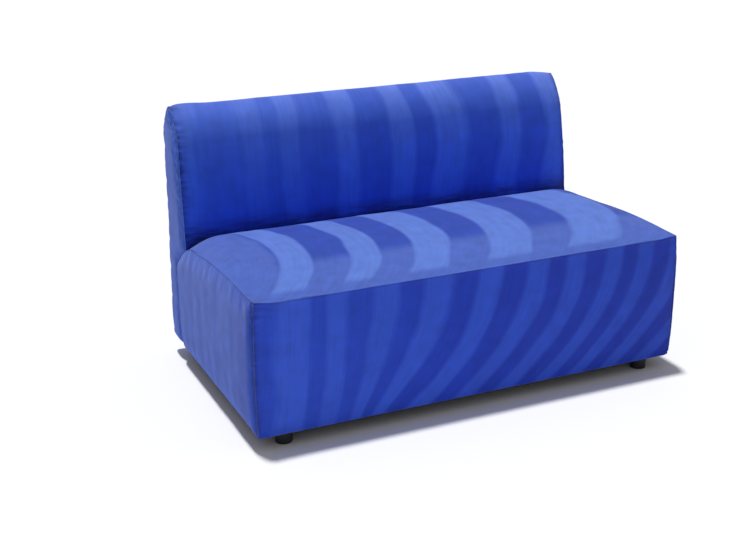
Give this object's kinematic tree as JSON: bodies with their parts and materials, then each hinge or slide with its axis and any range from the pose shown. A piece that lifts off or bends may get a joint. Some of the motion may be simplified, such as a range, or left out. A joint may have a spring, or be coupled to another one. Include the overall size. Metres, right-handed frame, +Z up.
{
  "type": "armless sofa",
  "caption": "Compact armless sofa with a boxed upholstered seat, a low leaning upholstered back and short round feet.",
  "frame": {"origin": "middle of the footprint on the floor", "axes": "+X along the seat to the sitter's left, +Y to the rear, +Z up"},
  "size_m": [1.3376, 0.7899, 0.795],
  "materials": {
    "blue_microsuede": "brushed microsuede with light and dark nap",
    "black_plastic": "satin moulded",
    "softwood": "sawn, unfinished",
    "hardboard": "smooth pressed",
    "spring_steel": "dark drawn wire",
    "zinc_steel": "bright zinc",
    "foam": "open-cell polyurethane foam",
    "batting": "white polyester fibre",
    "felt": "grey needled felt",
    "elastic_webbing": "woven with elastic cores",
    "black_cambric": "thin spun-bonded cloth"
  },
  "bodies": {
    "root": {"back_batting": "batting", "back_bottom_rail": "softwood", "back_centre_post": "softwood", "back_dust_cover": "black_cambric", "back_foam": "foam", "back_front_cover": "blue_microsuede", "back_insulator": "felt", "back_joining_rail": "softwood", "back_left_cover": "blue_microsuede", "back_left_post": "softwood", "back_lumbar_rail": "softwood", "back_rear_board": "hardboard", "back_rear_cover": "blue_microsuede", "back_right_cover": "blue_microsuede", "back_right_post": "softwood", "back_top_rail": "softwood", "back_webbing_crossings": "elastic_webbing", "back_webbing_uprights": "elastic_webbing", "base_front_rail": "softwood", "base_left_rail": "softwood", "base_rear_rail": "softwood", "base_right_rail": "softwood", "base_stretcher": "softwood", "centre_posts": "softwood", "corner_blocks": "softwood", "foot_studs": "zinc_steel", "front_feet": "black_plastic", "front_left_post": "softwood", "front_right_post": "softwood", "joining_screws": "zinc_steel", "rear_feet": "black_plastic", "rear_left_post": "softwood", "rear_right_post": "softwood", "seat_batting": "batting", "seat_dust_cover": "black_cambric", "seat_foam": "foam", "seat_front_board": "hardboard", "seat_front_cover": "blue_microsuede", "seat_front_rail": "softwood", "seat_insulator": "felt", "seat_left_board": "hardboard", "seat_left_cover": "blue_microsuede", "seat_left_rail": "softwood", "seat_rear_rail": "softwood", "seat_right_board": "hardboard", "seat_right_cover": "blue_microsuede", "seat_right_rail": "softwood", "seat_springs": "spring_steel", "seat_top_cover": "blue_microsuede", "spring_clips": "zinc_steel", "spring_tie_wires": "spring_steel"}
  },
  "joints": []
}
